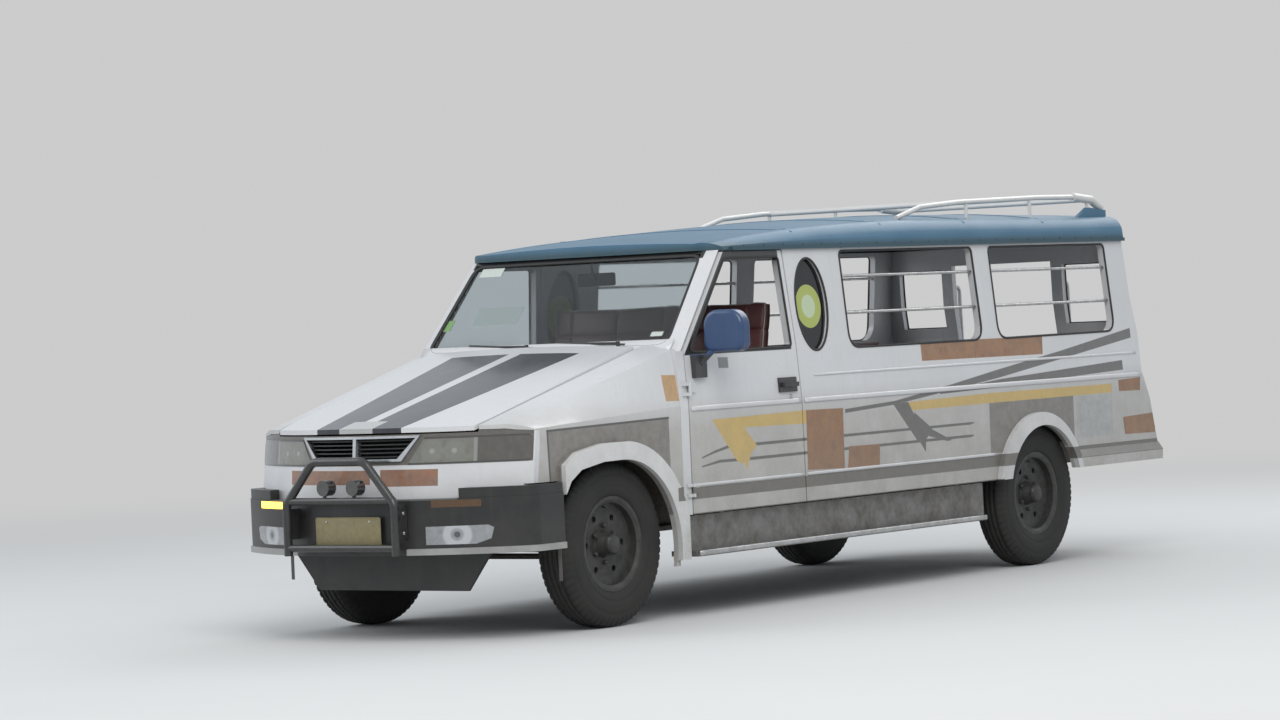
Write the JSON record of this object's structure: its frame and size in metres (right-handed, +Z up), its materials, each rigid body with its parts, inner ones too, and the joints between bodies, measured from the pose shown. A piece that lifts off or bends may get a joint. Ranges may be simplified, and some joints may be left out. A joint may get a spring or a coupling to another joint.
{
  "type": "jeepney",
  "caption": "Long-bonnet passenger jeepney with two front doors, open barred side windows, side benches, a rear entrance, a roof rack and a front bull bar.",
  "frame": {"origin": "on the ground, under the middle of the overall box, which takes in the left mirror; the vehicle's own middle plane is X = -0.111 m", "axes": "+X to the vehicle's left, +Y to its rear, +Z up; the front faces -Y"},
  "size_m": [1.968, 6.16, 2.0109],
  "materials": {
    "body_paint": "glossy white paint",
    "roof_paint": "glossy blue paint",
    "bonnet_paint": "glossy white paint with dark stripes",
    "dark_paint": "satin dark paint",
    "chassis_paint": "matt dark paint",
    "engine": "dull",
    "spring_steel": "dull",
    "tank": "satin dark paint",
    "exhaust_steel": "dull",
    "floor_metal": "worn grey paint",
    "liner": "matt",
    "chrome": "polished",
    "lamp_glass": "clear ribbed lens",
    "window_glass": "clear",
    "red_lens": "glossy red lens",
    "bumper_paint": "satin dark paint",
    "steel_tube": "polished",
    "tube_paint": "glossy white paint",
    "dash": "grained",
    "black_plastic": "satin",
    "mirror_plastic": "glossy blue",
    "step_metal": "tread plate",
    "seat_vinyl": "stitched vinyl",
    "wheel_paint": "dusty dark paint",
    "tyre": "rubber"
  },
  "bodies": {
    "body": {"chassis_frame": "chassis_paint", "engine_block": "engine", "front_axle": "chassis_paint", "rear_axle": "chassis_paint", "leaf_springs": "spring_steel", "fuel_tank": "tank", "exhaust": "exhaust_steel", "floor_pan": "floor_metal", "cowl_frame": "body_paint", "dashboard": "dash", "glass_panes": "window_glass", "wipers": "black_plastic", "front_fenders": "body_paint", "arch_liners": "liner", "nose_panel": "body_paint", "grille": "chrome", "headlamps": "lamp_glass", "front_bumper": "bumper_paint", "front_lamps": "lamp_glass", "bull_bar": "dark_paint", "side_left": "body_paint", "side_right": "body_paint", "window_bars": "steel_tube", "roof": "roof_paint", "roof_rack": "tube_paint", "rear_frame": "body_paint", "rear_step": "dark_paint", "tail_lamps": "red_lens", "running_boards": "step_metal", "seat_frames": "floor_metal", "seat_cushions": "seat_vinyl", "seat_backs": "seat_vinyl"},
    "bonnet_body": {"bonnet": "bonnet_paint"},
    "door_left_body": {"door_left": "body_paint", "door_fittings_left": "mirror_plastic"},
    "door_right_body": {"door_right": "body_paint", "door_fittings_right": "black_plastic"},
    "knuckle_left_body": {"knuckle_left": "chassis_paint"},
    "knuckle_right_body": {"knuckle_right": "chassis_paint"},
    "tie_rod_body": {"tie_rod": "chassis_paint"},
    "steering_wheel_body": {"steering_wheel": "black_plastic"},
    "wheel_front_left_body": {"wheel_front_left": "wheel_paint", "tyre_front_left": "tyre"},
    "wheel_front_right_body": {"wheel_front_right": "wheel_paint", "tyre_front_right": "tyre"},
    "wheel_rear_left_body": {"wheel_rear_left": "wheel_paint", "tyre_rear_left": "tyre"},
    "wheel_rear_right_body": {"wheel_rear_right": "wheel_paint", "tyre_rear_right": "tyre"}
  },
  "joints": [
    {"name": "steer_left", "type": "hinge", "parent": "body", "child": "knuckle_left_body", "pos_m": [0.489, -2.05, 0.387], "axis": [0, 0, 1], "range_deg": [-28, 28]},
    {"name": "steer_right", "type": "hinge", "parent": "body", "child": "knuckle_right_body", "pos_m": [-0.711, -2.05, 0.387], "axis": [0, 0, 1], "range_deg": [-28, 28]},
    {"name": "tie_rod_pivot", "type": "hinge", "parent": "knuckle_left_body", "child": "tie_rod_body", "pos_m": [0.489, -1.905, 0.318], "axis": [0, 0, 1], "range_deg": [-28, 28]},
    {"name": "steering_wheel_turn", "type": "hinge", "parent": "body", "child": "steering_wheel_body", "pos_m": [0.269, -1.195, 1.128], "axis": [0, 0.8637, 0.5041], "range_deg": [-448, 448]},
    {"name": "bonnet_hinge", "type": "hinge", "parent": "body", "child": "bonnet_body", "pos_m": [-0.111, -1.622, 1.268], "axis": [-1, 0, 0], "range_deg": [0, 50]},
    {"name": "door_left_hinge", "type": "hinge", "parent": "body", "child": "door_left_body", "pos_m": [0.739, -1.488, 0.84], "axis": [0, 0, -1], "range_deg": [0, 65]},
    {"name": "door_right_hinge", "type": "hinge", "parent": "body", "child": "door_right_body", "pos_m": [-0.961, -1.488, 0.84], "axis": [0, 0, 1], "range_deg": [0, 65]},
    {"name": "spin_front_left", "type": "hinge", "parent": "knuckle_left_body", "child": "wheel_front_left_body", "pos_m": [0.594, -2.05, 0.387], "axis": [1, 0, 0], "continuous": true},
    {"name": "spin_front_right", "type": "hinge", "parent": "knuckle_right_body", "child": "wheel_front_right_body", "pos_m": [-0.816, -2.05, 0.387], "axis": [1, 0, 0], "continuous": true},
    {"name": "spin_rear_left", "type": "hinge", "parent": "body", "child": "wheel_rear_left_body", "pos_m": [0.594, 1.71, 0.387], "axis": [1, 0, 0], "continuous": true},
    {"name": "spin_rear_right", "type": "hinge", "parent": "body", "child": "wheel_rear_right_body", "pos_m": [-0.816, 1.71, 0.387], "axis": [1, 0, 0], "continuous": true}
  ],
  "couplings": [
    {"joint": "steer_right", "follows": "steer_left", "ratio": 1},
    {"joint": "tie_rod_pivot", "follows": "steer_left", "ratio": -1},
    {"joint": "steering_wheel_turn", "follows": "steer_left", "ratio": 16}
  ]
}
